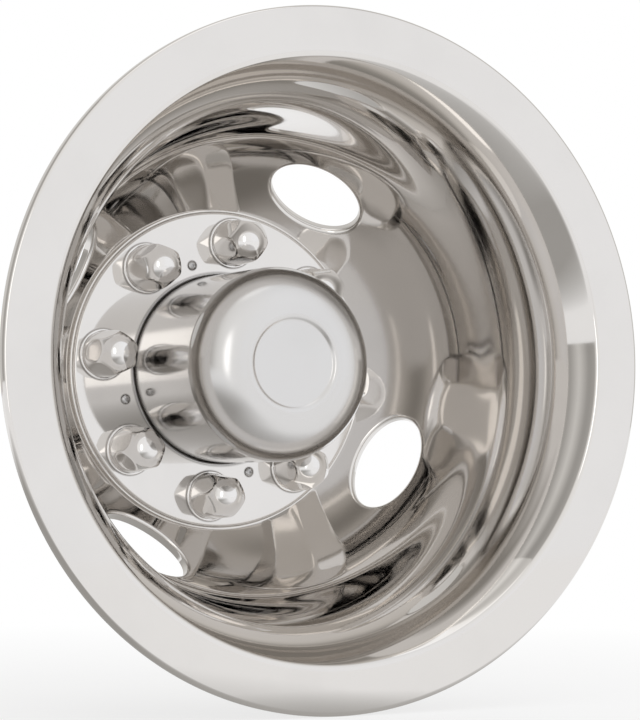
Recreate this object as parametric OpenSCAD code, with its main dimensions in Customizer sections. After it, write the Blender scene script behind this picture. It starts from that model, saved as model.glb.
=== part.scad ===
// Cover for a dual rear truck wheel: a deep stainless dish with a flat lip, four hand holes,
// a tall hub cap and a ring of acorn lug covers. The wheel's axis is Y, and the front faces -Y.

/* [Liner] */
// Thickness of the stainless sheet
sheet_t = 1.0; // [0.8:0.1:1.2]
// Outside diameter of the lip
lip_d = 435; // [425:1:445]
// Width of the flat face of the lip
lip_flat_w = 25; // [20:0.5:28]
// Radius of the rolled outer edge
lip_roll_r = 2.5; // [2:0.1:4]
// Length of the skirt behind the rolled edge
lip_skirt_l = 3; // [1:0.5:8]
// Radius of the bend from the lip into the barrel
throat_bend_r = 5; // [3:0.5:8]
// Depth from the lip's face to the bolt face
dish_depth = 172; // [160:1:180]
// Flare of the barrel where it leaves the lip, in degrees from the axis
barrel_taper = 38; // [35:0.5:41]
// Length over which the barrel loses that flare
barrel_pull = 87; // [82:1:91]
// Slope of the bowl where it starts, in degrees from the bolt face
bowl_slope = 31; // [29:0.5:33]
// Length over which the bowl keeps near that slope
bowl_pull = 95; // [90:1:99]

/* [Bolt face] */
// Width of the bolt face left outside the lug covers
face_margin = 3.2; // [2.8:0.1:5]
// Height of the bolt face over the groove round it
face_step = 3; // [2.8:0.1:4]
// Radius of the bend at the bolt face's edge
face_bend_r = 1.5; // [1.2:0.1:1.6]
// Radius of the groove round the bolt face
groove_r = 1.2; // [1:0.1:1.3]

/* [Lug covers] */
// Number of lug covers
lug_n = 8; // [6:1:10]
// Distance from the hub cap's drum out to the bolt circle
lug_out = 22.5; // [22:0.1:24]
// Turn of the first lug cover about the axis, in degrees
lug_turn = 39.5; // [0:0.5:45]
// Diameter of a lug cover's foot
cover_foot_d = 33.5; // [32:0.5:35]
// Thickness of the foot
cover_foot_t = 1.6; // [1:0.1:3]
// Diameter of the round body over the foot
cover_body_d = 30.6; // [29.6:0.2:31.6]
// Height of that body over the bolt face, up to the dome
cover_body_h = 21; // [18:0.5:26]
// Width across the flats, half way up the body
cover_hex_w = 28.6; // [27.6:0.2:29.2]
// Lean of the flats, in degrees
cover_hex_lean = 6.5; // [5:0.5:8]
// Height of the domed end
cover_dome_h = 14; // [12:0.5:15]
// Diameter of the bore that a wheel stud goes into
cover_bore_d = 21; // [18:0.5:21.4]
// Length of that bore from the neck's open end
cover_bore_l = 16; // [14:0.5:20]
// Step from the bore to the wider room over it
cover_room_step = 0.6; // [0.4:0.1:0.8]
// Wall of the neck that passes through the bolt face
cover_neck_t = 1.2; // [0.8:0.1:1.6]
// Length of the neck behind the bolt face
cover_neck_l = 4; // [3:0.5:8]
// Rounding at the edge of the foot
cover_foot_ease = 0.6; // [0.3:0.1:0.8]
// Turn of the hexagon about the cover's axis, in degrees
cover_hex_turn = 0; // [0:1:60]
// Thickness of the cover's end over the hollow
cover_end_t = 1.8; // [1:0.1:3]
// Gap round each neck and rivet in its hole
hole_gap = 0.3; // [0.2:0.05:0.5]

/* [Cover clips] */
// Outside diameter of a push-on clip
clip_d = 32; // [30:0.5:33]
// Thickness of the clip's spring steel
clip_t = 0.7; // [0.5:0.1:1.2]
// Height of the clip's turned rim
clip_rim_h = 1.8; // [1.2:0.1:2.5]
// Number of gripping teeth in a clip
clip_teeth = 6; // [4:1:8]
// Width of the slots between the teeth
clip_slot_w = 2.4; // [1.6:0.1:3]
// Length of a tooth
clip_tooth_l = 2.2; // [1.5:0.1:2.6]
// Gap between the teeth and the neck
clip_gap = 0.05; // [0.03:0.01:0.1]

/* [Hub cap] */
// Outside diameter of the drum
cap_d = 125; // [121:0.5:127]
// Height of the drum over the bolt face, up to the shoulder
cap_drum_h = 87; // [80:0.5:95]
// Radius of the shoulder between drum and front
cap_shoulder_r = 4; // [3:0.5:5]
// Slope of the front where it leaves the shoulder, in degrees
cap_front_slope = 46; // [42:1:50]
// Length over which the front keeps near that slope
cap_front_pull = 14; // [11:1:17]
// Length over which the front flattens towards its top
cap_top_pull = 12; // [9:1:14]
// Height of the front over the drum
cap_front_h = 24; // [22:0.5:26]
// Diameter of the front's flat top, where the recess begins
cap_top_d = 63; // [60:0.5:66]
// Diameter of the flat floor of the recess
cap_recess_d = 55; // [50:0.5:57]
// Depth of the recess
cap_recess_h = 1.4; // [0.8:0.1:2]
// Gap between the flange behind the bolt face and the cover clips
cap_flange_gap = 2; // [1:0.1:2.6]
// Radius of the bend between drum and flange
cap_bend_r = 1.4; // [1.2:0.1:1.8]
// Gap between that bend and the edge of the bolt face's opening
cap_gap = 0.3; // [0.2:0.05:0.8]

/* [Cap rivets] */
// Number of rivets
rivet_n = 4; // [2:1:4]
// Distance from the hub cap's drum out to the rivet circle
rivet_out = 9.3; // [9:0.1:10]
// Diameter of a rivet's head
rivet_head_d = 6.4; // [5.4:0.1:7]
// Height of a rivet's head
rivet_head_h = 1.3; // [0.9:0.1:2]
// Diameter of a rivet's shank
rivet_shank_d = 3.2; // [2.4:0.1:4]
// Diameter of the rivet's formed tail
rivet_tail_d = 5; // [4.6:0.1:6]
// Height of that tail
rivet_tail_h = 1.5; // [1:0.1:2.5]
// Radius of the cap's ear round a rivet
rivet_ear_r = 6; // [5:0.5:7]

/* [Hand holes] */
// Number of hand holes
hand_n = 4; // [2:1:4]
// Distance from the bolt face's edge out to a hole's centre
hand_out = 25.6; // [24:0.2:28]
// Height of a hole's centre over the back of the bolt face
hand_h = 20.5; // [18:0.5:23]
// Tilt of a hole's axis from the wheel's axis, in degrees
hand_tilt = 46; // [40:0.5:50]
// Length of a hole round the dish
hand_l = 67; // [60:0.5:72]
// Width of a hole up the slope
hand_w = 42; // [38:0.5:45]
// Depth of the turned-back edge
hand_edge_l = 6; // [4:0.5:8]

/* [Hidden] */
$fn = 96;

lip_r = lip_d / 2;
lip_h = dish_depth + sheet_t;
cap_r = cap_d / 2;
lug_r = cap_r + lug_out;
rivet_r = cap_r + rivet_out;
face_r = lug_r + cover_foot_d / 2 + face_margin;
hand_r = face_r + hand_out;
cap_hole_r = cap_r + cap_bend_r + cap_gap;
cap_flange_r = lug_r - clip_d / 2 - cap_flange_gap;
cover_neck_r = cover_bore_d / 2 + cover_neck_t;
lug_step = 360 / lug_n;
hand_turn = lug_turn + lug_step / 2;

function arc(c, r, a0, a1, n) = [for (i = [0 : n]) let (a = a0 + (a1 - a0) * i / n) c + r * [cos(a), sin(a)]];

function bezier(p, n) = [
    for (i = [0 : n]) let (t = i / n, u = 1 - t)
        u * u * u * p[0] + 3 * u * u * t * p[1] + 3 * u * t * t * p[2] + t * t * t * p[3]
];

function reversed(list) = [for (i = [len(list) - 1 : -1 : 0]) list[i]];

function unit(v) = v / norm(v);

// A path's points moved by d to the left of its run, with mitred corners
function beside(path, d) = [
    for (i = [0 : len(path) - 1]) let (
        here = path[i],
        u = i == 0 ? unit(path[1] - here) : unit(here - path[i - 1]),
        v = i == len(path) - 1 ? u : unit(path[i + 1] - here),
        n = unit([-(u[1] + v[1]), u[0] + v[0]])
    ) here + n * d / (n * [-u[1], u[0]])
];

// The closed outline between two offsets of a path
function strip(path, d0, d1) = concat(beside(path, d0), reversed(beside(path, d1)));

// Front of the barrel and bowl, as radius and height, from the throat to the groove
function bowl_path() = let (
    down = [-sin(barrel_taper), -cos(barrel_taper)],
    throat = [lip_r - lip_roll_r - lip_flat_w, lip_h - throat_bend_r]
        + throat_bend_r * [-cos(barrel_taper), sin(barrel_taper)],
    groove = [face_r + groove_r, sheet_t - face_step + groove_r]
        + groove_r * [sin(bowl_slope), -cos(bowl_slope)],
    up = [cos(bowl_slope), sin(bowl_slope)]
) bezier([throat, throat + barrel_pull * down, groove + bowl_pull * up, groove], 30);

// Front of the whole liner, from the skirt's edge to the hub cap's opening
function liner_path() = concat(
    [[lip_r, lip_h - lip_roll_r - lip_skirt_l]],
    arc([lip_r - lip_roll_r, lip_h - lip_roll_r], lip_roll_r, 0, 90, 6),
    arc([lip_r - lip_roll_r - lip_flat_w, lip_h - throat_bend_r], throat_bend_r, 90, 180 - barrel_taper, 8),
    [for (i = [1 : 29]) bowl_path()[i]],
    arc([face_r + groove_r, sheet_t - face_step + groove_r], groove_r, 270 + bowl_slope, 180, 8),
    arc([face_r - face_bend_r, sheet_t - face_bend_r], face_bend_r, 0, 90, 6),
    [[cap_hole_r, sheet_t]]
);

function ellipse(l, w) = [for (a = [0 : 7.5 : 359]) [w / 2 * cos(a), l / 2 * sin(a)]];

module in_wheel_frame() { rotate([90, 0, 0]) children(); }

module at_lug(k) { rotate([0, 0, lug_turn + (k - 1) * lug_step]) translate([lug_r, 0, 0]) children(); }

// Rivets sit midway between two lug covers, spread evenly round the cap
module at_rivet(k) {
    gap = round((k - 1) * lug_n / rivet_n) - 1;
    rotate([0, 0, hand_turn + gap * lug_step]) translate([rivet_r, 0, 0]) children();
}

module at_hand_hole(k) {
    rotate([0, 0, hand_turn + (k - 1) * 360 / hand_n])
        translate([hand_r, 0, hand_h]) rotate([0, -hand_tilt, 0]) children();
}

module oval_prism(l, w, h) { translate([0, 0, -h / 2]) linear_extrude(h) polygon(ellipse(l, w)); }

// A hole through the sheet on each side of the bolt face's back, and through a clip
module drill(r) { translate([0, 0, -2 * clip_rim_h]) cylinder(r = r, h = 4 * clip_rim_h); }

module liner() {
    color("gainsboro") in_wheel_frame() difference() {
        union() {
            rotate_extrude() polygon(strip(liner_path(), 0, sheet_t));
            // Stock for the turned-back edges, from the middle of the sheet to the edges' depth
            intersection() {
                rotate_extrude() polygon(strip(bowl_path(), sheet_t / 2, hand_edge_l));
                for (k = [1 : hand_n]) at_hand_hole(k)
                    oval_prism(hand_l + 2 * sheet_t, hand_w + 2 * sheet_t, hand_w);
            }
        }
        for (k = [1 : hand_n]) at_hand_hole(k) oval_prism(hand_l, hand_w, hand_l);
        for (k = [1 : lug_n]) at_lug(k) drill(cover_neck_r + hole_gap);
        for (k = [1 : rivet_n]) at_rivet(k) drill(rivet_shank_d / 2 + hole_gap);
    }
}

// Front of the hub cap, as radius and height, from the flange's edge to the axis
function cap_path() = let (
    shoulder = [cap_r - cap_shoulder_r, sheet_t + cap_drum_h],
    start = shoulder + cap_shoulder_r * [sin(cap_front_slope), cos(cap_front_slope)],
    up = [-cos(cap_front_slope), sin(cap_front_slope)],
    top = [cap_top_d / 2, sheet_t + cap_drum_h + cap_front_h],
    front = bezier([start, start + cap_front_pull * up, top + [cap_top_pull, 0], top], 18),
    floor_h = top[1] - cap_recess_h
) concat(
    [[cap_flange_r, 0]],
    arc([cap_r + cap_bend_r, cap_bend_r], cap_bend_r, 270, 180, 6),
    arc(shoulder, cap_shoulder_r, 0, 90 - cap_front_slope, 6),
    [for (i = [1 : 18]) front[i]],
    [[cap_recess_d / 2, floor_h], [0, floor_h]]
);

module hub_cap() {
    color("whitesmoke") in_wheel_frame() difference() {
        union() {
            rotate_extrude() polygon(strip(cap_path(), 0, sheet_t));
            for (k = [1 : rivet_n]) at_rivet(k) translate([0, 0, -sheet_t]) cap_ear();
        }
        for (k = [1 : rivet_n]) at_rivet(k) drill(rivet_shank_d / 2 + hole_gap);
    }
}

// An ear of the cap's flange: a round tab with a shank that runs back into the flange
module cap_ear() {
    shank_l = rivet_out - cap_bend_r;
    cylinder(r = rivet_ear_r, h = sheet_t);
    translate([-shank_l, -0.8 * rivet_ear_r, 0]) cube([shank_l, 1.6 * rivet_ear_r, sheet_t]);
}

// Outside of a lug cover without its flats, from the neck's end over the foot to the top
function cover_path() = let (
    foot_top = sheet_t + cover_foot_t,
    body_r = cover_body_d / 2,
    body_top = sheet_t + cover_body_h
) concat(
    [[cover_neck_r, -cover_neck_l], [cover_neck_r, sheet_t], [cover_foot_d / 2, sheet_t]],
    [[cover_foot_d / 2, foot_top - cover_foot_ease], [cover_foot_d / 2 - cover_foot_ease, foot_top]],
    [[body_r, foot_top + cover_foot_ease]],
    [for (a = [0 : 6 : 84]) [body_r * cos(a), body_top + cover_dome_h * sin(a)]],
    [[0, body_top + cover_dome_h]]
);

// Hollow of a lug cover: a bore for the stud, then a wider room with a round end
function cover_hollow() = let (
    bore = cover_bore_d / 2,
    room = bore + cover_room_step,
    step_h = cover_bore_l - cover_neck_l,
    top = sheet_t + cover_body_h
) concat(
    [[0, -cover_neck_l - 1], [bore, -cover_neck_l - 1], [bore, step_h], [room, step_h + cover_room_step]],
    [for (a = [0 : 9 : 81]) [room * cos(a), top + (cover_dome_h - cover_end_t) * sin(a)]],
    [[0, top + cover_dome_h - cover_end_t]]
);

module lug_cover(k) {
    hex_mid = sheet_t + cover_body_h / 2;
    color("silver") in_wheel_frame() at_lug(k) difference() {
        rotate_extrude() polygon(concat([[0, -cover_neck_l]], cover_path()));
        rotate_extrude() polygon(cover_hollow());
        for (a = [0 : 60 : 300]) rotate([0, 0, a + cover_hex_turn])
            translate([cover_hex_w / 2, 0, hex_mid]) rotate([0, -cover_hex_lean, 0])
                translate([0, -cover_foot_d, cover_foot_t + sheet_t - hex_mid])
                    cube([cover_foot_d, 2 * cover_foot_d, cover_body_h + cover_dome_h]);
    }
}

// Push-on clip: teeth grip the lug cover's neck, and a turned rim stiffens the ring
module cover_clip(k) {
    ring_r = cover_neck_r + clip_gap + clip_tooth_l;
    color("dimgray") in_wheel_frame() at_lug(k) translate([0, 0, -clip_rim_h]) difference() {
        cylinder(d = clip_d, h = clip_rim_h);
        translate([0, 0, -1]) cylinder(d = clip_d - 2 * clip_t, h = clip_rim_h - clip_t + 1);
        drill(cover_neck_r + clip_gap);
        for (a = [0 : 360 / clip_teeth : 359]) rotate([0, 0, a])
            translate([0, -clip_slot_w / 2, -1]) cube([ring_r, clip_slot_w, clip_rim_h + 2]);
    }
}

// Blind rivet with a domed head in front and a formed tail behind the cap's ear
module cap_rivet(k) {
    head_r = rivet_head_d / 2;
    color("darkgray") in_wheel_frame() at_rivet(k) rotate_extrude() polygon(concat(
        [[0, -sheet_t - rivet_tail_h], [rivet_tail_d / 2, -sheet_t - rivet_tail_h], [rivet_tail_d / 2, -sheet_t]],
        [[rivet_shank_d / 2, -sheet_t], [rivet_shank_d / 2, sheet_t]],
        [for (a = [0 : 15 : 75]) [head_r * cos(a), sheet_t + rivet_head_h * sin(a)]],
        [[0, sheet_t + rivet_head_h]]
    ));
}

liner();
hub_cap();
for (k = [1 : lug_n]) lug_cover(k);
for (k = [1 : lug_n]) cover_clip(k);
for (k = [1 : rivet_n]) cap_rivet(k);
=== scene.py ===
# Stainless cover for a dual rear truck wheel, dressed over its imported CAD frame
import bpy, bmesh, math
from mathutils import Vector, Matrix
from mathutils.geometry import delaunay_2d_cdt


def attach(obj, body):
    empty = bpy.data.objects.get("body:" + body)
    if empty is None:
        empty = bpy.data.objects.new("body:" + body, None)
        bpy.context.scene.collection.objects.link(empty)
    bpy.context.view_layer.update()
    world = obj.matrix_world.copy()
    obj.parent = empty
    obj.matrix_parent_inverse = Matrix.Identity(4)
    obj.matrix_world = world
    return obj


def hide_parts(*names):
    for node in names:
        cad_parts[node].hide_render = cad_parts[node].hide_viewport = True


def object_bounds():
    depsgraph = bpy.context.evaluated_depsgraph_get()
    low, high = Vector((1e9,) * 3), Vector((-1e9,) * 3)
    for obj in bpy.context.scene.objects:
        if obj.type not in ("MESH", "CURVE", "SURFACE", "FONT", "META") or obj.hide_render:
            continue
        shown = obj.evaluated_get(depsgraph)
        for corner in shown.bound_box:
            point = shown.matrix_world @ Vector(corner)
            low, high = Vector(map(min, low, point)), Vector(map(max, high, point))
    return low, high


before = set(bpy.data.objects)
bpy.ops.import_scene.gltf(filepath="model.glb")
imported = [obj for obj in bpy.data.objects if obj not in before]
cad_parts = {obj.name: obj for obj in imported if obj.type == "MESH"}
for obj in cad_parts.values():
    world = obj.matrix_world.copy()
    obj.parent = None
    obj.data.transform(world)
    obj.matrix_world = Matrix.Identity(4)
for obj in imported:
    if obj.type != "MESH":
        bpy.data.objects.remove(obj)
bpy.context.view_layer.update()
scene = bpy.context.scene
mm = 0.001
print("frame loaded:", len(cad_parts), "nodes")


# camera, set from the lip's ellipse in the photograph
view = {"aim": (0.0, -0.173, 0.0), "away": (-0.4606, -0.8865, -0.0441), "distance": 1.63125, "lens": 133.5,
        "shift": (-0.0268, -0.00125)}


def makeCamera():
    aim, away = Vector(view["aim"]), Vector(view["away"])
    data = bpy.data.cameras.new("camera")
    data.sensor_width, data.lens = 36, view["lens"]
    data.shift_x, data.shift_y = view["shift"]
    data.clip_start, data.clip_end = 0.05, 50
    cam = bpy.data.objects.new("camera", data)
    scene.collection.objects.link(cam)
    ahead = -away.normalized()
    right = ahead.cross(Vector((0, 0, 1))).normalized()
    up = right.cross(ahead)
    turn = Matrix((right, up, -ahead)).transposed().to_4x4()
    cam.matrix_world = Matrix.Translation(aim + away * view["distance"]) @ turn
    scene.camera = cam


makeCamera()
print("camera set")


# a socket that takes part in sums, and a tree that makes any other node
class Value:
    def __init__(self, tree, socket):
        self.tree, self.socket = tree, socket

    def sum(self, how, other, swapped=False):
        a, b = (other, self) if swapped else (self, other)
        return self.tree.node("ShaderNodeMath", {"operation": how}, {0: a, 1: b})

    def __add__(self, other):
        return self.sum("ADD", other)

    def __radd__(self, other):
        return self.sum("ADD", other, True)

    def __sub__(self, other):
        return self.sum("SUBTRACT", other)

    def __rsub__(self, other):
        return self.sum("SUBTRACT", other, True)

    def __mul__(self, other):
        return self.sum("MULTIPLY", other)

    def __rmul__(self, other):
        return self.sum("MULTIPLY", other, True)

    def __truediv__(self, other):
        return self.sum("DIVIDE", other)

    def __gt__(self, other):
        return self.sum("GREATER_THAN", other)

    def __lt__(self, other):
        return self.sum("LESS_THAN", other)


class Tree:
    def __init__(self, nodeTree):
        self.nodeTree = nodeTree

    def node(self, kind, settings=None, inputs=None, out=0):
        made = self.nodeTree.nodes.new(kind)
        for name, value in (settings or {}).items():
            if name == "stops":
                ramp = made.color_ramp
                while len(ramp.elements) > 1:
                    ramp.elements.remove(ramp.elements[-1])
                for i, (place, colour) in enumerate(value):
                    stop = ramp.elements[0] if i == 0 else ramp.elements.new(place)
                    stop.position, stop.color = place, colour
            else:
                setattr(made, name, value)
        for name, value in (inputs or {}).items():
            if isinstance(value, Value):
                self.nodeTree.links.new(value.socket, made.inputs[name])
            else:
                made.inputs[name].default_value = value
        return Value(self, made.outputs[out])

    def maths(self, how, *values):
        return self.node("ShaderNodeMath", {"operation": how}, dict(enumerate(values)))

    def ranged(self, value, low, high, start=0.0, end=1.0):
        return self.node("ShaderNodeMapRange", {}, {"Value": value, "From Min": low, "From Max": high,
                                                    "To Min": start, "To Max": end})

    def noise(self, place, scale, detail, roughness=0.5):
        return self.node("ShaderNodeTexNoise", {}, {"Vector": place, "Scale": scale, "Detail": detail,
                                                    "Roughness": roughness})

    def mixed(self, share, first, second, blend="MIX"):
        return self.node("ShaderNodeMix", {"data_type": "RGBA", "blend_type": blend},
                         {0: share, 6: first, 7: second}, out=2)

    def split(self, vector):
        made = self.nodeTree.nodes.new("ShaderNodeSeparateXYZ")
        self.nodeTree.links.new(vector.socket, made.inputs[0])
        return [Value(self, out) for out in made.outputs]


def grey(v, warm=0.0):
    return (v, v * (1 - 0.35 * warm), v * (1 - warm), 1)


def newMaterial(name):
    material = bpy.data.materials.new(name)
    material.use_nodes = True
    material.node_tree.nodes.clear()
    return material, Tree(material.node_tree)


def finishMaterial(tree, surface):
    out = tree.nodeTree.nodes.new("ShaderNodeOutputMaterial")
    tree.nodeTree.links.new(surface.socket, out.inputs["Surface"])


# finishes: colour, how rough the polish is at its best and worst, how far the sheet waves, and haze left
# by hands; "foot" is the height of painted contact shade round a foot, "hazyFront" where haze starts, ends
# and how much, and "rings" are the circle, turn, count, radius and width of painted shade lines where parts
# meet, all in millimetres and degrees
finishes = {
    "dishSteel": {"colour": (0.675, 0.65, 0.622), "smooth": 0.03, "rough": 0.07, "wave": 0.10,
                  "waveSize": 9.0, "grain": 0.01, "haze": 0.04,
                  "rings": [(0.0, 0.0, 1, 64.2, 0.8), (85.0, 39.5, 8, 16.8, 0.5), (71.75, 17.0, 4, 3.2, 0.4)]},
    "capSteel": {"colour": (0.63, 0.615, 0.60), "smooth": 0.10, "rough": 0.17, "wave": 0.05,
                 "waveSize": 12.0, "grain": 0.01, "haze": 0.04, "foot": 2.0, "hazyFront": (95.0, 108.0, 0.09)},
    "coverChrome": {"colour": (0.72, 0.70, 0.68), "smooth": 0.09, "rough": 0.14, "wave": 0.06,
                    "waveSize": 60.0, "grain": 0.01, "haze": 0.05, "foot": 1.6},
    # the rivets' steel is set darker than the other steel as painted shade on their small domed heads
    "rivetSteel": {"colour": (0.46, 0.45, 0.44), "smooth": 0.18, "rough": 0.34, "wave": 0.05,
                   "waveSize": 200.0, "grain": 0.10, "haze": 0.10, "foot": 1.6},
    "clipSteel": {"colour": (0.36, 0.345, 0.32), "smooth": 0.24, "rough": 0.42, "wave": 0.04,
                  "waveSize": 90.0, "grain": 0.16, "haze": 0.18, "foot": 0.5},
}
# painted contact shade: a near-black colour mixed into the metal round feet and where parts meet, which also
# roughens it there
paintedShade = {"colour": (0.06, 0.052, 0.046, 1), "strength": 0.5, "dulls": 0.4}


def fromNearest(tree, x, z, circle, turn, count):
    # how far a point lies from the nearest of the centres on a circle round the wheel's axis
    radius = tree.maths("SQRT", x * x + z * z)
    if circle == 0:
        return radius
    step = 2 * math.pi / count
    angle = tree.maths("ARCTAN2", z, x) - math.radians(turn) + (2 * math.pi + step / 2)
    off = tree.maths("MODULO", angle, step) - step / 2
    along = tree.maths("COSINE", off) * radius - circle * mm
    across = tree.maths("SINE", off) * radius
    return tree.maths("SQRT", along * along + across * across)


def paintedShadeMask(tree, spec, x, y, z):
    # painted shade where parts meet: 1 in the corners where two pieces meet, 0 on open metal
    marked = []
    for circle, turn, count, reach, width in spec.get("rings", []):
        off = tree.maths("ABSOLUTE", fromNearest(tree, x, z, circle, turn, count) - reach * mm)
        marked.append(tree.ranged(off, 0.2 * width * mm, 2 * width * mm, 1.0, 0.0))
    if "foot" in spec:
        high = spec["foot"] * mm
        marked.append(tree.ranged(y, -1.2 * high, -0.4 * high) * (y < 0.0))
    mask = marked[0]
    for more in marked[1:]:
        mask = tree.maths("MAXIMUM", mask, more)
    return mask * paintedShade["strength"]


def polished(name):
    spec = finishes[name]
    material, tree = newMaterial(name)
    place = tree.node("ShaderNodeTexCoord", out=3)
    cloud = tree.noise(place, 14.0, 4.0, 0.6)
    fine = tree.noise(place, 900.0, 2.0)
    # polishing marks run round the wheel's axis, so they are noise over radius and depth alone
    x, y, z = tree.split(place)
    radius = tree.maths("SQRT", x * x + z * z)
    ringPlace = tree.node("ShaderNodeCombineXYZ", {}, {"X": radius, "Y": y, "Z": 0.0})
    marks = tree.noise(ringPlace, 700.0, 3.0, 0.6)
    dull = cloud * 0.6 + fine * 0.15 + marks * 0.25
    rough = tree.ranged(dull, 0.3, 0.7, spec["smooth"], spec["rough"])
    dim = tuple(c * (1 - spec["haze"]) for c in spec["colour"])
    patch = tree.ranged(cloud, 0.45, 0.75)
    colour = tree.mixed(patch, (*spec["colour"], 1), (*dim, 1))
    swell = tree.noise(place, spec["waveSize"], 1.0)
    height = swell * spec["wave"] + marks * spec["grain"] * 0.01
    bump = tree.node("ShaderNodeBump", {}, {"Height": height, "Strength": 0.6, "Distance": 0.004})
    # painted shade: the colour goes towards near-black in the corners where parts meet
    paintedShadeAmount = paintedShadeMask(tree, spec, x, y, z)
    colour = tree.mixed(paintedShadeAmount, colour, paintedShade["colour"])
    rough = rough + paintedShadeAmount * paintedShade["dulls"]
    if "hazyFront" in spec:
        start, end, more = spec["hazyFront"]
        rough = rough + tree.ranged(y * -1.0, start * mm, end * mm, 0.0, more)
    shader = tree.node("ShaderNodeBsdfPrincipled", {}, {
        "Base Color": colour, "Metallic": 1.0, "Roughness": rough, "Normal": bump})
    finishMaterial(tree, shader)
    return material


materials = {name: polished(name) for name in finishes}
print("finishes made:", ", ".join(materials))


# sections are lists of (radius, height) in millimetres; height runs from the bolt face's back to the front
def polar(radius, degrees, centre=(0.0, 0.0), rise=None):
    # a point of a circle, or of an ellipse that rises to a height of its own
    turn = math.radians(degrees)
    return centre[0] + radius * math.cos(turn), centre[1] + (rise or radius) * math.sin(turn)


def arc(centre, radius, start, end, steps):
    return [polar(radius, start + (end - start) * i / steps, centre) for i in range(steps + 1)]


def circle(radius, steps, centre=(0.0, 0.0)):
    return [polar(radius, 360 * i / steps, centre) for i in range(steps)]


def withSupports(path, near=0.6, span=4.0):
    # points close to both ends of each long straight, so that shading stays flat along it
    made = [path[0]]
    for (r0, h0), (r1, h1) in zip(path, path[1:]):
        length = math.hypot(r1 - r0, h1 - h0)
        if length > span:
            for t in (near / length, 0.5, 1 - near / length):
                made.append((r0 + (r1 - r0) * t, h0 + (h1 - h0) * t))
        made.append((r1, h1))
    return made


def beside(path, d):
    # the path moved to the left of its run, with mitred corners
    made = []
    for i, (r, h) in enumerate(path):
        here = Vector((r, h))
        before = (here - Vector(path[i - 1])).normalized() if i else (Vector(path[1]) - here).normalized()
        after = (Vector(path[i + 1]) - here).normalized() if i + 1 < len(path) else before
        along = (before + after).normalized()
        side = Vector((-along.y, along.x))
        made.append(tuple(here + side * d / side.dot(Vector((-before.y, before.x)))))
    return made


def inPlace(r, h, angle):
    return Vector((r * math.cos(angle), -h, r * math.sin(angle))) * mm


def flatFill(loops, merge=1e-7):
    # fills the first loop of points and leaves the loops inside it open
    points, ids = [], []
    for loop in loops:
        ids.append(list(range(len(points), len(points) + len(loop))))
        points += [Vector(p) for p in loop]
    spots, _, faces, oldSpots, _, oldFaces = delaunay_2d_cdt(points, [], ids, 2, merge, True)
    return spots, [f for f, inLoops in zip(faces, oldFaces) if list(inLoops) == [0]], oldSpots


def meshObject(name, points, faces):
    mesh = bpy.data.meshes.new(name)
    mesh.from_pydata(points, [], faces)
    mesh.validate()
    made = bpy.data.objects.new(name, mesh)
    scene.collection.objects.link(made)
    return made


def plainCopy(made):
    # the modifiers' result as a plain mesh on the same object
    bpy.context.view_layer.update()
    graph = bpy.context.evaluated_depsgraph_get()
    done = bpy.data.meshes.new_from_object(made.evaluated_get(graph), depsgraph=graph)
    made.modifiers.clear()
    old, made.data = made.data, done
    bpy.data.meshes.remove(old)
    done.name = made.name
    return made


def smoothShaded(made, angle):
    mesh = made.data
    mesh.polygons.foreach_set("use_smooth", [True] * len(mesh.polygons))
    mesh.set_sharp_from_angle(angle=math.radians(angle))
    return made


# the dish: lip, barrel, bowl with its turned-back hand holes, groove and bolt face
dish = {"lipRadius": 217.5, "lipHeight": 173.0, "rollRadius": 2.5, "skirt": 3.0, "lipWidth": 25.0,
        "throatBend": 5.0, "barrelTaper": 38.0, "barrelPull": 87.0, "bowlSlope": 31.0, "bowlPull": 95.0,
        "sheet": 1.0, "faceRadius": 104.95, "faceStep": 3.0, "faceBend": 1.5, "groove": 1.2, "capOpening": 64.2,
        "lugs": 8, "lugTurn": 39.5, "lugCircle": 85.0, "lugHole": 12.0,
        "rivets": 4, "rivetTurn": 17.0, "rivetCircle": 71.75, "rivetHole": 1.9,
        "holes": 4, "holeTurn": 62, "holeRadius": 130.6, "holeHeight": 20.5, "holeTilt": 46.0,
        "holeLength": 67.0, "holeWidth": 42.0, "edgeDepth": 6.0, "edgeBend": 2.6,
        "columns": 360, "rowStep": 2.4, "patchColumns": 19, "patchReach": 26.5}


def bowlCurve():
    taper, slope = math.radians(dish["barrelTaper"]), math.radians(dish["bowlSlope"])
    bend, g = dish["throatBend"], dish["groove"]
    throat = Vector((dish["lipRadius"] - dish["rollRadius"] - dish["lipWidth"] - bend * math.cos(taper),
                     dish["lipHeight"] - bend + bend * math.sin(taper)))
    low = Vector((dish["faceRadius"] + g + g * math.sin(slope),
                  dish["sheet"] - dish["faceStep"] + g - g * math.cos(slope)))
    return (low, low + dish["bowlPull"] * Vector((math.cos(slope), math.sin(slope))),
            throat - dish["barrelPull"] * Vector((math.sin(taper), math.cos(taper))), throat)


def cubic(pulls, t):
    u, (a, b, c, d) = 1 - t, pulls
    return a * u ** 3 + b * 3 * u * u * t + c * 3 * u * t * t + d * t ** 3


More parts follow.
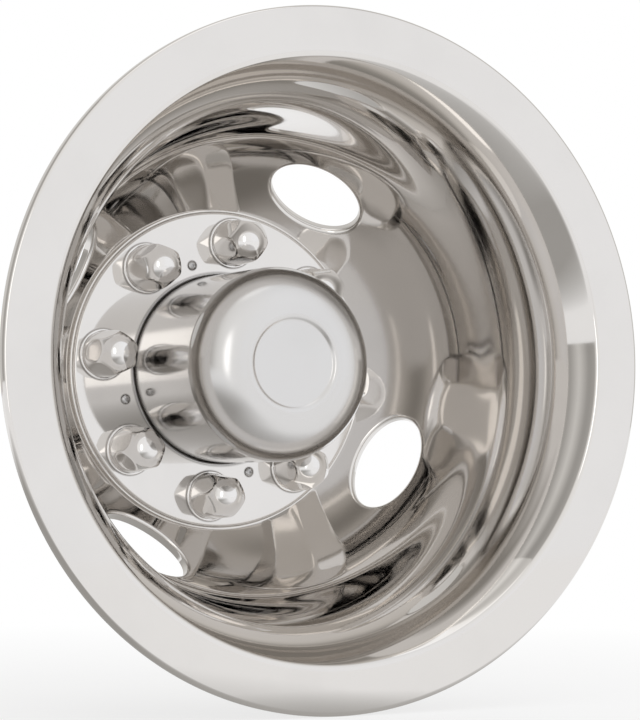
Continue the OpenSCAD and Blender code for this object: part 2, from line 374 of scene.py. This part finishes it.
class Bowl:
    # the bowl's front by its length from the groove
    def __init__(self, steps=600):
        self.pulls = bowlCurve()
        self.steps = steps
        self.lengths = [0.0]
        last = self.at(0)
        for i in range(1, steps + 1):
            here = self.at(i / steps)
            self.lengths.append(self.lengths[-1] + (here - last).length)
            last = here
        self.length = self.lengths[-1]

    def at(self, t):
        return cubic(self.pulls, t)

    def along(self, s):
        s = min(max(s, 0.0), self.length)
        low, high = 0, self.steps
        while high - low > 1:
            middle = (low + high) // 2
            low, high = (middle, high) if self.lengths[middle] <= s else (low, middle)
        span = self.lengths[high] - self.lengths[low]
        return self.at((low + (s - self.lengths[low]) / span) / self.steps)

    def meets(self, up, side):
        # where the hole's straight cut, at (up, side) in its own plane, comes through the bowl
        tilt = math.radians(dish["holeTilt"])
        low, high = 0.0, self.length * 0.7
        for _ in range(44):
            s = (low + high) / 2
            r, h = self.along(s)
            turn = math.asin(side / r)
            outward, forward = r * math.cos(turn) - dish["holeRadius"], h - dish["holeHeight"]
            there = outward * math.cos(tilt) + forward * math.sin(tilt)
            low, high = (s, high) if there < up else (low, s)
        return s, turn


def makeDish():
    bowl = Bowl()
    rows = round(bowl.length / dish["rowStep"])
    columns = dish["columns"]
    points, faces = [], []

    def add(point):
        points.append(point)
        return len(points) - 1

    def ring(r, h):
        return [add(inPlace(r, h, 2 * math.pi * i / columns)) for i in range(columns)]

    def join(a, b):
        n = len(a)
        for i in range(n):
            faces.append((a[i], a[(i + 1) % n], b[(i + 1) % n], b[i]))

    # bowl grid, with a square left open round each hand hole
    grid = [ring(*bowl.along(bowl.length * j / rows)) for j in range(rows + 1)]
    middle, _ = bowl.meets(0, 0)
    first = round((middle - dish["patchReach"]) / bowl.length * rows)
    last = round((middle + dish["patchReach"]) / bowl.length * rows)
    half = dish["patchColumns"]
    turns = [round(dish["holeTurn"] + 360 * k / dish["holes"]) for k in range(dish["holes"])]
    centres = [turn * columns // 360 for turn in turns]
    inside = {(c + o) % columns for c in centres for o in range(-half, half)}
    for j in range(rows):
        for i in range(columns):
            if not (first <= j < last and i in inside):
                n = (i + 1) % columns
                faces.append((grid[j][i], grid[j][n], grid[j + 1][n], grid[j + 1][i]))
    tilt = math.radians(dish["holeTilt"])
    b = dish["edgeBend"]
    across, along = dish["holeWidth"] / 2, dish["holeLength"] / 2
    around = [(first, o) for o in range(-half, half)] + [(j, half) for j in range(first, last)]
    around += [(last, o) for o in range(half, -half, -1)] + [(j, -half) for j in range(last, first, -1)]
    for c in centres:
        turn0 = 2 * math.pi * c / columns
        back = Vector((math.sin(tilt) * math.cos(turn0), math.cos(tilt), math.sin(tilt) * math.sin(turn0))) * mm
        rings = [[grid[j][(c + o) % columns] for j, o in around]]
        outer, corner = [], []
        for j, o in around:
            s, turn = bowl.length * j / rows, 2 * math.pi * o / columns
            a = math.atan2(turn * dish["holeRadius"] / dish["holeLength"], (s - middle) / dish["holeWidth"])
            outer.append((s, turn, *bowl.meets((across + b) * math.cos(a), (along + b) * math.sin(a))))
            corner.append(bowl.meets(across * math.cos(a), along * math.sin(a)))
        for t in (0.2, 0.4, 0.6, 0.8, 0.93, 1.0):
            rings.append([add(inPlace(*bowl.along(s0 + (s1 - s0) * t), turn0 + w0 + (w1 - w0) * t))
                          for s0, w0, s1, w1 in outer])
        sharp = [inPlace(*bowl.along(s), turn0 + w) for s, w in corner]
        rim = [points[i].copy() for i in rings[-1]]
        for k in range(1, 9):
            t = k / 8
            rings.append([add(p * (1 - t) ** 2 + q * 2 * t * (1 - t) + (q + back * b) * t * t)
                          for p, q in zip(rim, sharp)])
        for depth in (b + 0.4, (b + dish["edgeDepth"]) / 2, dish["edgeDepth"] - 0.4, dish["edgeDepth"]):
            rings.append([add(q + back * depth) for q in sharp])
        for a, d in zip(rings, rings[1:]):
            join(a, d)

    # throat, lip and rolled edge outwards from the bowl's top
    lipR, lipH, roll, bend = dish["lipRadius"], dish["lipHeight"], dish["rollRadius"], dish["throatBend"]
    path = arc((lipR - roll - dish["lipWidth"], lipH - bend), bend, 180 - dish["barrelTaper"], 90, 8)[1:]
    path += arc((lipR - roll, lipH - roll), roll, 90, 0, 6) + [(lipR, lipH - roll - dish["skirt"])]
    edge = grid[-1]
    for r, h in withSupports([tuple(bowl.along(bowl.length))] + path)[1:]:
        nextEdge = ring(r, h)
        join(edge, nextEdge)
        edge = nextEdge
    # groove and the bolt face's bend inwards from the bowl's foot
    r, g, bend, top = dish["faceRadius"], dish["groove"], dish["faceBend"], dish["sheet"]
    path = arc((r + g, top - dish["faceStep"] + g), g, 270 + dish["bowlSlope"], 180, 6)[1:]
    path += arc((r - bend, top - bend), bend, 0, 90, 6) + [(r - bend - 0.5, top)]
    edge = grid[0]
    for r, h in path:
        nextEdge = ring(r, h)
        join(nextEdge, edge)
        edge = nextEdge
    # the flat of the bolt face, with its round openings
    loops = [[(points[i].x, points[i].z) for i in edge]]

    loops.append(circle(dish["capOpening"] * mm, 192))
    for kind, steps in (("lug", 64), ("rivet", 24)):
        count, turn, away, radius = (dish[kind + word] for word in ("s", "Turn", "Circle", "Hole"))
        loops += [circle(radius * mm, steps, polar(away * mm, turn + 360 / count * k)) for k in range(count)]
    spots, flatFaces, oldSpots = flatFill(loops)
    ids = []
    for p, old in zip(spots, oldSpots):
        ids.append(edge[old[0]] if old and old[0] < len(edge) else add(Vector((p.x, -top * mm, p.y))))
    faces += [tuple(ids[i] for i in f) for f in flatFaces]

    piece = meshObject("dish", points, faces)
    bm = bmesh.new()
    bm.from_mesh(piece.data)
    bmesh.ops.remove_doubles(bm, verts=bm.verts, dist=1e-7)
    bmesh.ops.recalc_face_normals(bm, faces=bm.faces)
    lipFace = min(bm.faces, key=lambda f: f.calc_center_median().y)
    if lipFace.normal.y > 0:
        bmesh.ops.reverse_faces(bm, faces=bm.faces)
    bm.to_mesh(piece.data)
    bm.free()
    wall = piece.modifiers.new("sheet", "SOLIDIFY")
    wall.thickness, wall.offset = dish["sheet"] * mm, -1
    wall.use_even_offset = wall.use_quality_normals = True
    piece.data.materials.append(materials["dishSteel"])
    plainCopy(piece)
    smoothShaded(piece, 40)
    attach(piece, "root")
    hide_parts("liner")
    print("dish made:", len(piece.data.polygons), "faces")


makeDish()


# geometry trees
def newTree(name, inputs):
    tree = bpy.data.node_groups.new(name, "GeometryNodeTree")
    tree.interface.new_socket("Geometry", in_out="INPUT", socket_type="NodeSocketGeometry")
    for label, kind in inputs:
        tree.interface.new_socket(label, in_out="INPUT", socket_type=kind)
    tree.interface.new_socket("Geometry", in_out="OUTPUT", socket_type="NodeSocketGeometry")
    return tree


def runTree(piece, tree, values):
    modifier = piece.modifiers.new(tree.name, "NODES")
    modifier.node_group = tree
    for item in tree.interface.items_tree:
        if item.in_out == "INPUT" and item.name in values:
            modifier[item.identifier] = values[item.name]
    return plainCopy(piece)


def turnedTree():
    # turns a section, kept as a row of points in the XZ plane's place (radius, depth), into a shell round Y
    made = newTree("turnedShell", [("Columns", "NodeSocketInt"), ("Material", "NodeSocketMaterial")])
    tree = Tree(made)
    given = made.nodes.new("NodeGroupInput")
    section, columns, finish = (Value(tree, given.outputs[i]) for i in range(3))
    count = tree.node("GeometryNodeAttributeDomainSize", {"component": "MESH"}, {"Geometry": section})
    grid = tree.node("GeometryNodeMeshGrid", {}, {"Size X": 1.0, "Size Y": 1.0, "Vertices X": columns + 1,
                                                  "Vertices Y": count})
    index = tree.node("GeometryNodeInputIndex")
    row = tree.maths("MODULO", index, count)
    column = tree.maths("FLOOR", index / count)
    spot = tree.node("GeometryNodeInputPosition")
    there = tree.node("GeometryNodeSampleIndex", {"data_type": "FLOAT_VECTOR"},
                      {"Geometry": section, "Value": spot, "Index": row})
    turned = tree.node("ShaderNodeVectorRotate", {"rotation_type": "Y_AXIS"},
                       {"Vector": there, "Angle": column / columns * (-2 * math.pi)})
    shell = tree.node("GeometryNodeSetPosition", {}, {"Geometry": grid, "Position": turned})
    closed = tree.node("GeometryNodeMergeByDistance", {}, {"Geometry": shell, "Distance": 1e-6})
    real = tree.node("GeometryNodeRealizeInstances", {}, {"Geometry": closed})
    done = tree.node("GeometryNodeSetMaterial", {}, {"Geometry": real, "Material": finish})
    out = made.nodes.new("NodeGroupOutput")
    made.links.new(done.socket, out.inputs[0])
    return made


def ringTree():
    # sets copies of the piece evenly on a circle round Y, each turned to face outwards
    made = newTree("onCircle", [("Count", "NodeSocketInt"), ("Radius", "NodeSocketFloat"),
                                ("Turn", "NodeSocketFloat"), ("Material", "NodeSocketMaterial")])
    tree = Tree(made)
    given = made.nodes.new("NodeGroupInput")
    piece, count, radius, turn, finish = (Value(tree, given.outputs[i]) for i in range(5))
    index = tree.node("GeometryNodeInputIndex")
    angle = index / count * (2 * math.pi) + turn
    x = tree.maths("COSINE", angle) * radius
    z = tree.maths("SINE", angle) * radius
    spot = tree.node("ShaderNodeCombineXYZ", {}, {"X": x, "Y": 0.0, "Z": z})
    spots = tree.node("GeometryNodePoints", {}, {"Count": count, "Position": spot})
    facing = tree.node("ShaderNodeCombineXYZ", {}, {"X": 0.0, "Y": angle * -1.0, "Z": 0.0})
    copies = tree.node("GeometryNodeInstanceOnPoints", {},
                       {"Points": spots, "Instance": piece, "Rotation": facing})
    real = tree.node("GeometryNodeRealizeInstances", {}, {"Geometry": copies})
    done = tree.node("GeometryNodeSetMaterial", {}, {"Geometry": real, "Material": finish})
    out = made.nodes.new("NodeGroupOutput")
    made.links.new(done.socket, out.inputs[0])
    return made


turnedShell, onCircle = turnedTree(), ringTree()
print("geometry trees made")


def faceOutwards(made):
    bm = bmesh.new()
    bm.from_mesh(made.data)
    bmesh.ops.remove_doubles(bm, verts=bm.verts, dist=1e-7)
    bmesh.ops.recalc_face_normals(bm, faces=bm.faces)
    bm.to_mesh(made.data)
    bm.free()
    return made


def turned(name, section, columns, finish):
    points = [Vector((r, -h, 0)) * mm for r, h in section]
    piece = meshObject(name, points, [])
    runTree(piece, turnedShell, {"Columns": columns, "Material": materials[finish]})
    return faceOutwards(piece)


# the hub cap: flange behind the bolt face, drum, domed front, and a soft ring round the bare recess
hubCap = {"radius": 62.5, "drumHeight": 85.5, "dome": 25.5, "flatRadius": 31.5, "ring": 0.4, "ringWidth": 2.6,
          "recessEdge": 29.8, "recessFloor": 26.8, "recessDepth": 1.4, "flangeRadius": 67.0, "bend": 1.4,
          "sheet": 1.0, "earRadius": 6.0, "earNeck": 0.8, "earFlare": 0.35, "earInset": 0.2, "columns": 288}


def capRelief(r):
    # what the ring adds to the front's height, and what the recess takes away
    off = abs(r - hubCap["flatRadius"]) / hubCap["ringWidth"]
    ring = hubCap["ring"] * math.cos(off * math.pi / 2) ** 2 if off < 1 else 0.0
    down = min(max((hubCap["recessEdge"] - r) / (hubCap["recessEdge"] - hubCap["recessFloor"]), 0.0), 1.0)
    return ring - hubCap["recessDepth"] * down * down * (3 - 2 * down)


def makeEar(turn):
    # a rounded tab as thick as the sheet, with a rivet's hole, set at its turn round the axis
    neck = hubCap["earNeck"] * hubCap["earRadius"]
    reach = math.degrees(math.asin(hubCap["earNeck"]) + hubCap["earFlare"])
    start = hubCap["flangeRadius"] - dish["rivetCircle"] - hubCap["earInset"]
    outline = arc((0, 0), hubCap["earRadius"], -reach, reach, 20) + [(start, neck), (start, -neck)]
    flatSpots, flatFaces, _ = flatFill([outline, circle(dish["rivetHole"], 20)], 1e-6)
    ear = bmesh.new()
    spots = [ear.verts.new(p.to_3d()) for p in flatSpots]
    tops = [ear.faces.new([spots[i] for i in f]) for f in flatFaces]
    swept = bmesh.ops.extrude_face_region(ear, geom=tops)
    for v in swept["geom"]:
        if isinstance(v, bmesh.types.BMVert):
            v.co.z -= hubCap["sheet"]
    for v in ear.verts:
        v.co = inPlace(dish["rivetCircle"] + v.co.x, v.co.z, 0) + Vector((0, 0, v.co.y * mm))
        v.co = Matrix.Rotation(-turn, 3, "Y") @ v.co
    bmesh.ops.recalc_face_normals(ear, faces=ear.faces)
    mesh = bpy.data.meshes.new("ear")
    ear.to_mesh(mesh)
    ear.free()
    return mesh


def makeHubCap():
    drumTop = hubCap["sheet"] + hubCap["drumHeight"]
    flat, top = hubCap["flatRadius"], drumTop + hubCap["dome"]
    across = hubCap["radius"] - flat
    path = [(hubCap["flangeRadius"], 0)]
    path += arc((hubCap["radius"] + hubCap["bend"], hubCap["bend"]), hubCap["bend"], 270, 180, 8)
    front = [polar(across, 2.25 * i, (flat, drumTop), hubCap["dome"]) for i in range(41)]
    front += [(flat - 0.3 * i, top) for i in range(1, 17)]
    path += [(r, h + capRelief(r)) for r, h in front] + [(0, top - hubCap["recessDepth"])]
    path = withSupports(path)
    back = [(max(r, 0), h) for r, h in beside(path, hubCap["sheet"])]
    section = path + back[::-1] + [path[0]]
    piece = turned("hubCap", section, hubCap["columns"], "capSteel")
    # four ears on the flange, each under a rivet
    bm = bmesh.new()
    bm.from_mesh(piece.data)
    for k in range(dish["rivets"]):
        ear = makeEar(math.radians(dish["rivetTurn"] + 360 / dish["rivets"] * k))
        bm.from_mesh(ear)
        bpy.data.meshes.remove(ear)
    bm.to_mesh(piece.data)
    bm.free()
    smoothShaded(piece, 40)
    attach(piece, "root")
    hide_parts("hub_cap")
    print("hub cap made:", len(piece.data.polygons), "faces")


makeHubCap()


# lug covers: a round foot, six leaning flats with softened edges, a domed end and the hollow for the stud
cover = {"foot": 16.75, "footHeight": 1.6, "footBend": 0.6, "body": 15.3, "bodyHeight": 21.0, "bodyBend": 0.7,
         "flats": 14.4, "lean": 6.5, "soften": 0.9, "dome": 14.0, "neck": 11.7, "neckLength": 4.0,
         "bore": 10.5, "boreEnd": 12.0, "room": 11.1, "roomStep": 0.6, "endWall": 1.8, "columns": 144}


def softMin(a, b, k):
    h = max(k - abs(a - b), 0.0) / k
    return min(a, b) - h * h * k / 4


def makeCovers():
    sheet, end = dish["sheet"], cover["dome"] - cover["endWall"]
    foot, top = sheet + cover["footHeight"], sheet + cover["bodyHeight"]
    neck, back = cover["neck"], -cover["neckLength"]
    outside = [(neck, back), (neck, 0.4), (neck, sheet)]
    outside += [(cover["foot"] - 0.5, sheet), (cover["foot"], sheet + 0.001)]
    bend, hollow, steps = cover["footBend"], cover["bodyBend"], 14
    outside += arc((cover["foot"] - bend, foot - bend), bend, 0, 90, 5)
    outside += arc((cover["body"] + hollow, foot + hollow), hollow, 270, 180, 5)
    outside += [(cover["body"], foot + hollow + (top - foot - hollow) * i / steps) for i in range(1, steps + 1)]
    outside += [polar(cover["body"], a, (0, top), cover["dome"]) for a in range(4, 90, 4)]
    outside += [(0.0, top + cover["dome"])]
    inner = [(0.0, top + end)] + [polar(cover["room"], a, (0, top), end) for a in range(81, -1, -9)]
    inner += [(cover["room"], cover["boreEnd"] + cover["roomStep"]), (cover["bore"], cover["boreEnd"])]
    inner += [(cover["bore"], 0.0), (cover["bore"], back), (neck, back)]
    columns = cover["columns"]
    middle = sheet + cover["bodyHeight"] / 2
    lean = math.tan(math.radians(cover["lean"]))
    points, faces = [], []

    def add(r, h, a):
        points.append((r * math.cos(a) * mm, -h * mm, r * math.sin(a) * mm))
        return len(points) - 1

    def outerRadius(r, h, a):
        if h <= foot + 0.02 or r < 1e-6:
            return r
        for k in range(6):
            off = math.cos(a - math.radians(60 * k))
            if off > 0.3:
                r = softMin(r, (cover["flats"] + (middle - h) * lean) / off, cover["soften"])
        return r

    def ringOf(r, h, radiusAt):
        if r < 1e-6:
            return [add(r, h, 0)] * columns
        return [add(radiusAt(r, h, a), h, a) for a in (2 * math.pi * i / columns for i in range(columns))]

    rings = [ringOf(r, h, outerRadius) for r, h in outside]
    rings += [ringOf(r, h, lambda r, h, a: r) for r, h in inner]
    for a, b in zip(rings, rings[1:]):
        for i in range(columns):
            n = (i + 1) % columns
            corners = [a[i], a[n], b[n], b[i]]
            face = [v for j, v in enumerate(corners) if v != corners[j - 1]]
            if len(face) > 2:
                faces.append(face)
    piece = meshObject("lugCovers", points, faces)
    faceOutwards(piece)
    runTree(piece, onCircle, {"Count": dish["lugs"], "Radius": dish["lugCircle"] * mm,
                              "Turn": math.radians(dish["lugTurn"]), "Material": materials["coverChrome"]})
    smoothShaded(piece, 35)
    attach(piece, "root")
    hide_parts(*[f"lug_cover_{k}" for k in range(1, 9)])
    print("lug covers made:", len(piece.data.polygons), "faces")


makeCovers()


# rivets that hold the cap's ears: a domed head with a small pit, a shank and a formed tail
rivet = {"head": 3.2, "headHeight": 1.3, "pit": 0.9, "pitDepth": 0.7, "pitTaper": 0.1, "pitEdge": 0.06,
         "shank": 1.6, "tail": 2.5, "tailHeight": 1.5, "tailBend": 0.5, "columns": 32}


def makeRivets():
    front, back = dish["sheet"], -hubCap["sheet"]
    crown, end, bend = front + rivet["headHeight"], back - rivet["tailHeight"], rivet["tailBend"]
    section = [(0, end), (rivet["tail"] - bend, end), (rivet["tail"], end + bend), (rivet["tail"], back)]
    section += [(rivet["shank"], back), (rivet["shank"], front)]
    section += [polar(rivet["head"], a, (0, front), rivet["headHeight"]) for a in range(0, 71, 10)]
    floor = crown - rivet["pitDepth"]
    section += [(rivet["pit"], crown - rivet["pitEdge"]), (rivet["pit"] - rivet["pitTaper"], floor), (0, floor)]
    piece = turned("capRivets", section, rivet["columns"], "rivetSteel")
    runTree(piece, onCircle, {"Count": dish["rivets"], "Radius": dish["rivetCircle"] * mm,
                              "Turn": math.radians(dish["rivetTurn"]), "Material": materials["rivetSteel"]})
    smoothShaded(piece, 35)
    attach(piece, "root")
    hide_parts(*[f"cap_rivet_{k}" for k in range(1, 5)])
    print("rivets made")


makeRivets()


# the push-on clips keep their CAD shape
for k in range(1, dish["lugs"] + 1):
    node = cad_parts[f"cover_clip_{k}"]
    node.data.materials.clear()
    node.data.materials.append(materials["clipSteel"])
print("clips finished")


# studio: pale floor, a white room with dimmer sides, and soft lamps; a tone is a place, a value and warmth
studio = {"floorSize": 3.0, "floorColour": 0.86, "strength": 1.2, "lampAim": (0, -0.08, 0), "lamps": [
    {"name": "leftSoftbox", "place": (-0.85, -2.15, 0.28), "width": 0.5, "height": 1.2, "watts": 1.5},
    {"name": "topSoftbox", "place": (-0.2, -0.6, 2.4), "width": 2.0, "height": 2.0, "watts": 3.0}],
    "sideTones": [(0.0, 0.70, 0.02), (0.12, 0.62, 0.03), (0.20, 0.44, 0.04), (0.262, 0.40, 0.05),
                  (0.278, 0.66, 0.03), (0.294, 0.36, 0.05), (0.33, 0.48, 0.04), (0.37, 0.80, 0.02),
                  (0.395, 0.88, 0.0), (0.50, 0.92, -0.02), (0.56, 0.94, -0.05), (0.63, 0.94, -0.05),
                  (0.69, 0.86, 0.0), (0.72, 0.50, 0.03), (0.76, 0.50, 0.03),
                  (0.79, 0.74, 0.02), (1.0, 0.70, 0.02)],
    "heightTones": [(0.0, 0.70, 0.03), (0.35, 0.88, 0.01), (0.5, 1.0, 0.0), (0.8, 1.0, 0.0), (1.0, 0.9, 0.0)]}


def seenBy(tree):
    # how a point is looked at: by the camera, in a polished surface, or through something clear
    path = tree.nodeTree.nodes.new("ShaderNodeLightPath")
    rays = ("Is Camera Ray", "Is Glossy Ray", "Is Transmission Ray")
    return [Value(tree, path.outputs[name]) for name in rays]


def makeFloor():
    low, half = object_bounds()[0], studio["floorSize"]
    corners = [(-half, -half), (half, -half), (half, half), (-half, half)]
    floor = meshObject("floor", [(x, y, low[2]) for x, y in corners], [(0, 1, 2, 3)])
    material, tree = newMaterial("paleFloor")
    place = tree.node("ShaderNodeTexCoord", out=3)
    far = tree.node("ShaderNodeVectorMath", {"operation": "LENGTH"}, {0: place}, out=1)
    edge = tree.ranged(far, 0.3, 0.9, 0.72, 1.0)
    camera, glossy, through = seenBy(tree)
    mottle = tree.noise(place, 30.0, 3.0)
    tone = tree.mixed(mottle, grey(studio["floorColour"]), grey(studio["floorColour"] * 1.03))
    matt = tree.node("ShaderNodeBsdfPrincipled", {}, {"Base Color": tone, "Roughness": 0.9})
    # in reflections the floor carries painted shade: dim close to the object, more so on the left, and bright
    # farther out
    x, _, _ = tree.split(place)
    lit = tree.maths("MAXIMUM", tree.ranged(x, -0.15, 0.1), tree.ranged(far, 0.5, 0.95))
    lit = lit * tree.ranged(far, 0.27, 0.42, 0.2, 1.0)
    paintedFloorShade = tree.mixed(lit, grey(0.36, 0.05), grey(0.96, -0.03))
    shade = tree.mixed(glossy, grey(1 / studio["strength"]), paintedFloorShade)
    white = tree.node("ShaderNodeEmission", {}, {"Color": shade, "Strength": studio["strength"]})
    share = camera * edge + glossy * 0.9 + through
    finishMaterial(tree, tree.node("ShaderNodeMixShader", {}, {0: share, 1: matt, 2: white}))
    floor.data.materials.append(material)


def toneRamp(tree, tones, along):
    stops = [(place, grey(value, warm)) for place, value, warm in tones]
    return tree.node("ShaderNodeValToRGB", {"stops": stops}, {"Fac": along})


def makeRoom():
    world = bpy.data.worlds.new("room")
    scene.world = world
    world.use_nodes = True
    world.node_tree.nodes.clear()
    tree = Tree(world.node_tree)
    x, y, z = tree.split(tree.node("ShaderNodeTexCoord", out=0))
    # turn about the vertical: 0 at the back, 0.25 left, 0.5 in front, 0.75 right
    turn = tree.maths("ARCTAN2", x, y * -1.0) / (2 * math.pi) + 0.5
    side = toneRamp(tree, studio["sideTones"], turn)
    height = toneRamp(tree, studio["heightTones"], z * 0.5 + 0.5)
    room = tree.mixed(1.0, side, height, "MULTIPLY")
    camera, _, through = seenBy(tree)
    seen = tree.mixed(camera + through, room, grey(1 / studio["strength"]))
    light = tree.node("ShaderNodeBackground", {}, {"Color": seen, "Strength": studio["strength"]})
    out = world.node_tree.nodes.new("ShaderNodeOutputWorld")
    world.node_tree.links.new(light.socket, out.inputs["Surface"])


def makeLamps():
    for lamp in studio["lamps"]:
        data = bpy.data.lights.new(lamp["name"], "AREA")
        data.shape, data.energy = "ELLIPSE", lamp["watts"]
        data.size, data.size_y = lamp["width"], lamp["height"]
        made = bpy.data.objects.new(lamp["name"], data)
        made.location = lamp["place"]
        made.rotation_euler = (Vector(studio["lampAim"]) - made.location).to_track_quat("-Z", "Y").to_euler()
        scene.collection.objects.link(made)


makeFloor()
makeRoom()
makeLamps()
scene.view_settings.view_transform = "Standard"
print("studio set")
